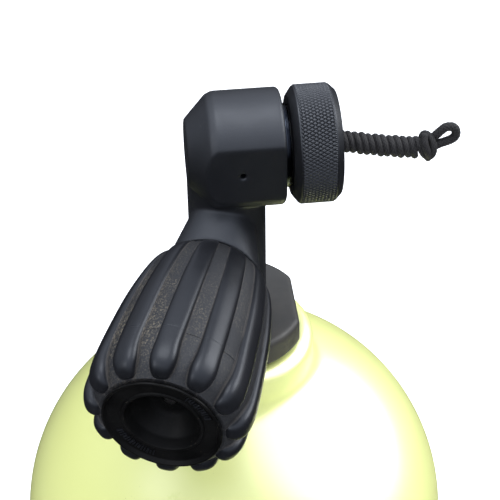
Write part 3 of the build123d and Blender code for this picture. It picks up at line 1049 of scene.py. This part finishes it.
def nurbs_route(points, name):
    """A smooth curve with the points as its control points."""
    data = bpy.data.curves.new(name, "CURVE")
    data.dimensions = "3D"
    data.resolution_u = 12
    spline = data.splines.new("NURBS")
    spline.points.add(len(points) - 1)
    for point, place in zip(spline.points, points):
        point.co = (*place, 1)
    spline.order_u = 3
    spline.use_endpoint_u = True
    return data


def read_route(data):
    """Points along a curve's smooth line."""
    holder = bpy.data.objects.new("route_reader", data)
    bpy.context.scene.collection.objects.link(holder)
    depsgraph = bpy.context.evaluated_depsgraph_get()
    line = bpy.data.meshes.new_from_object(holder.evaluated_get(depsgraph))
    points = [vertex.co.copy() for vertex in line.vertices]
    bpy.data.objects.remove(holder)
    bpy.data.meshes.remove(line)
    return points


def even(points, step):
    """Resample a line at equal steps."""
    out = [points[0]]
    carry = 0.0
    for a, b in zip(points, points[1:]):
        length = (b - a).length
        while carry + length >= step:
            t = (step - carry) / length
            a = a.lerp(b, t)
            length = (b - a).length
            out.append(a.copy())
            carry = 0.0
        carry += length
    return out


def line_length(points):
    return sum((b - a).length for a, b in zip(points, points[1:]))


def braided_tube(name, points, radius, material, loose=0.0):
    """A tube along the points with a braid's relief, thicker over the loose last metres."""
    sides, strands, relief = BRAID_SIDES, BRAID_STRANDS, BRAID_RELIEF
    tangent = (points[1] - points[0]).normalized()
    normal = tangent.orthogonal().normalized()
    verts, braid_height_painted_shade, faces = [], [], []
    distance = 0.0
    total = line_length(points)
    for i, point in enumerate(points):
        ahead = points[min(i + 1, len(points) - 1)]
        behind = points[max(i - 1, 0)]
        tangent = (ahead - behind).normalized()
        normal = (normal - tangent * normal.dot(tangent)).normalized()
        side = tangent.cross(normal)
        if i:
            distance += (point - points[i - 1]).length
        from_end = min(distance, total - distance)
        shrink = math.sqrt(max(0.02, 1 - max(0.0, 1 - from_end / radius) ** 2))
        spread = 1 + LOOSE_SPREAD * min(1.0, max(0.0, (distance - total + loose) / 0.004))
        for k in range(sides):
            angle = 2 * math.pi * k / sides
            around = strands * k / sides
            along = distance / (2 * math.pi * radius / strands)
            first, second = around + along, around - along
            over = (math.floor(first) + math.floor(second)) % 2
            phase = (first if over else second) % 1.0
            height = math.sin(math.pi * phase)
            # Each point's strand height, kept for the cord's painted shade between the strands.
            braid_height_painted_shade.append(height)
            r = radius * shrink * spread * (1 - relief + 2 * relief * height)
            verts.append(point + (normal * math.cos(angle) + side * math.sin(angle)) * r)
    for i in range(len(points) - 1):
        for k in range(sides):
            n = (k + 1) % sides
            faces.append((i * sides + k, i * sides + n, (i + 1) * sides + n, (i + 1) * sides + k))
    last = (len(points) - 1) * sides
    faces.append(tuple(range(sides - 1, -1, -1)))
    faces.append(tuple(last + k for k in range(sides)))
    tube = make_object(name, verts, faces, material)
    store(tube, "braid_height_painted_shade", braid_height_painted_shade)
    return tube


def outlet_point(x, y, z):
    """A point by its millimetres from the outlet's axis."""
    return OUTLET_ORIGIN + Vector((x, y, z)) * MM


def make_cord():
    """The cord leaves the plug's face, winds over itself, passes the knot and ends in a loop."""
    plug_face = CAP_HIGH.x / MM
    start_x, end_x = WRAP_LOW.x / MM + 1.2, WRAP_HIGH.x / MM - 1.0
    helix_r = WRAP_OUTER_RADIUS - CORD_D / 2 / MM - 0.1
    route = [outlet_point(plug_face - 0.2, 0, -0.2)]
    count = int(WRAP_TURNS * TURN_POINTS)
    for k in range(count + 1):
        t = k / count
        angle = 2 * math.pi * WRAP_TURNS * t
        x = start_x + (end_x - start_x) * t + 0.10 * math.sin(angle / 2.3)
        sag = 0.15 - WRAP_DROP * t - 0.45 * math.sin(math.pi * t)
        r = (helix_r + 0.12 * math.sin(angle * 0.37 + 1)) / math.cos(math.pi / TURN_POINTS)
        lean = 0.30 * math.sin(angle)
        route.append(outlet_point(x - lean, r * math.cos(angle), sag + r * math.sin(angle)))
    route += [outlet_point(*p) for p in THROUGH_KNOT_AND_LOOP]
    path = even(read_route(nurbs_route(route, "cord_route")), PATH_STEP)
    cord = braided_tube("cord", path, CORD_D / 2, CORD, loose=LOOSE_LENGTH)
    knot_route = [outlet_point(*p) for p in ROUND_THE_KNOT]
    knot_path = even(read_route(nurbs_route(knot_route, "knot_route")), PATH_STEP)
    knot = braided_tube("knot", knot_path, CORD_D / 2, CORD)
    for piece, nodes in ((cord, ("cord_wrap", "cord_loop")), (knot, ("cord_knot",))):
        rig.ride(piece, "cord_pull")
        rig.replaces(piece, *nodes)
        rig.slot(piece, "black_cord")
    print("cord length", round(line_length(path), 4), "knot", round(line_length(knot_path), 4))
    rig.cord(
        cord,
        exit=path[0],
        length=CORD_LENGTH,
        diameter=CORD_D,
        far_end="knot",
        stiffness="limp",
        lay="coiled",
        path=path[::2],
        with_pieces=[knot],
    )


make_cord()

# ---- Designed parts that stay as they are ---------------------------------------------------
FINISHES = {
    "neck_o_ring": SEAL,
    "bonnet_o_ring": SEAL,
    "spindle_o_rings": SEAL,
    "cap_o_ring": SEAL,
    "dip_tube": BRASS,
    "bonnet_nut": BRASS,
    "spindle": BRASS,
    "seat_carrier": BRASS,
    "inlet_filter": BRONZE,
    "thrust_washer": POLYMER,
    "seat_insert": POLYMER,
    "handwheel_hub": NYLON,
    "knob_spring": STEEL,
    "knob_washer": STEEL,
    "knob_nut": STEEL,
    "cord_stopper": CORD,
}
for node_name, finish in FINISHES.items():
    node = frame["nodes"][node_name]
    if not node.material_slots:
        node.data.materials.append(finish)
    for material_slot in node.material_slots:
        material_slot.material = finish

# ---- Stage and light ------------------------------------------------------------------------


def make_floor():
    size = 6.0
    floor = make_object(
        "floor",
        [(-size, -size, 0), (size, -size, 0), (size, size, 0), (-size, size, 0)],
        [(0, 1, 2, 3)],
        pale_floor(),
    )
    floor.location.z = -0.0005
    floor.visible_glossy = False
    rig.stage(floor)


def soft_light(name, place, aim, size, radiance, highlight_on=()):
    """A round softbox of that radiance, or one that only makes highlights on those pieces."""
    data = bpy.data.lights.new(name, "AREA")
    data.shape = "DISK"
    data.size = size
    data.energy = radiance * math.pi * math.pi * (size / 2) ** 2
    light = bpy.data.objects.new(name, data)
    bpy.context.scene.collection.objects.link(light)
    light.location = place
    light.rotation_mode = "QUATERNION"
    light.rotation_quaternion = (Vector(aim) - Vector(place)).to_track_quat("-Z", "Y")
    light.visible_camera = False
    if highlight_on:
        light.visible_diffuse = False
        lit = bpy.data.collections.new(name + "_lit")
        for piece in highlight_on:
            lit.objects.link(piece)
        light.light_linking.receiver_collection = lit


SKY_LOW, SKY_HIGH = (0.02, 0.02, 0.022), (1.12, 1.19, 1.35)
SKY_RAMP = (0.48, 0.92)  # 0 is straight down, 0.5 the horizon and 1 straight up


def make_sky():
    """A studio tent: bright overhead, dark at the horizon and below, plain white in the picture."""
    world = bpy.data.worlds.new("studio")
    world.use_nodes = True
    nodes, links = world.node_tree.nodes, world.node_tree.links
    place = nodes.new("ShaderNodeTexCoord")
    split = nodes.new("ShaderNodeSeparateXYZ")
    ramp = nodes.new("ShaderNodeValToRGB")
    for element, position, colour in zip(ramp.color_ramp.elements, SKY_RAMP, (SKY_LOW, SKY_HIGH)):
        element.position = position
        element.color = (*colour, 1)
    middle = nodes.new("ShaderNodeMapRange")
    middle.inputs["From Min"].default_value = -1
    seen = nodes.new("ShaderNodeLightPath")
    mix = nodes.new("ShaderNodeMix")
    mix.data_type = "RGBA"
    colours = [socket for socket in mix.inputs if socket.type == "RGBA"]
    colours[1].default_value = (1, 1, 1, 1)
    links.new(place.outputs["Generated"], split.inputs["Vector"])
    links.new(split.outputs["Z"], middle.inputs["Value"])
    links.new(middle.outputs["Result"], ramp.inputs["Fac"])
    links.new(ramp.outputs["Color"], colours[0])
    links.new(seen.outputs["Is Camera Ray"], mix.inputs["Factor"])
    shown = next(socket for socket in mix.outputs if socket.type == "RGBA")
    links.new(shown, nodes["Background"].inputs["Color"])
    bpy.context.scene.world = world


def make_light():
    neck = Vector((0, 0, NECK_Z))
    soft_light("overhead", neck + Vector((-0.10, 0.10, 1.15)), neck, 0.7, 3.6)
    soft_light("front_left", neck + Vector((-0.9, -0.5, 0.75)), neck, 0.5, 2.9)
    soft_light("right", neck + Vector((0.80, 0.16, 0.58)), neck, 0.62, 6.2)
    soft_light("right_window", neck + Vector((0.69, 0.02, 0.54)), neck, 1.7, 10.0, [cylinder])
    bpy.context.scene.view_settings.view_transform = "Standard"


make_sky()
make_floor()
make_light()

with open("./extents.json", "w") as size_file:
    json.dump(
        {
            "cad": [list(corner) for corner in cad_box],
            "visual": [list(corner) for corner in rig.bounds()],
        },
        size_file,
    )
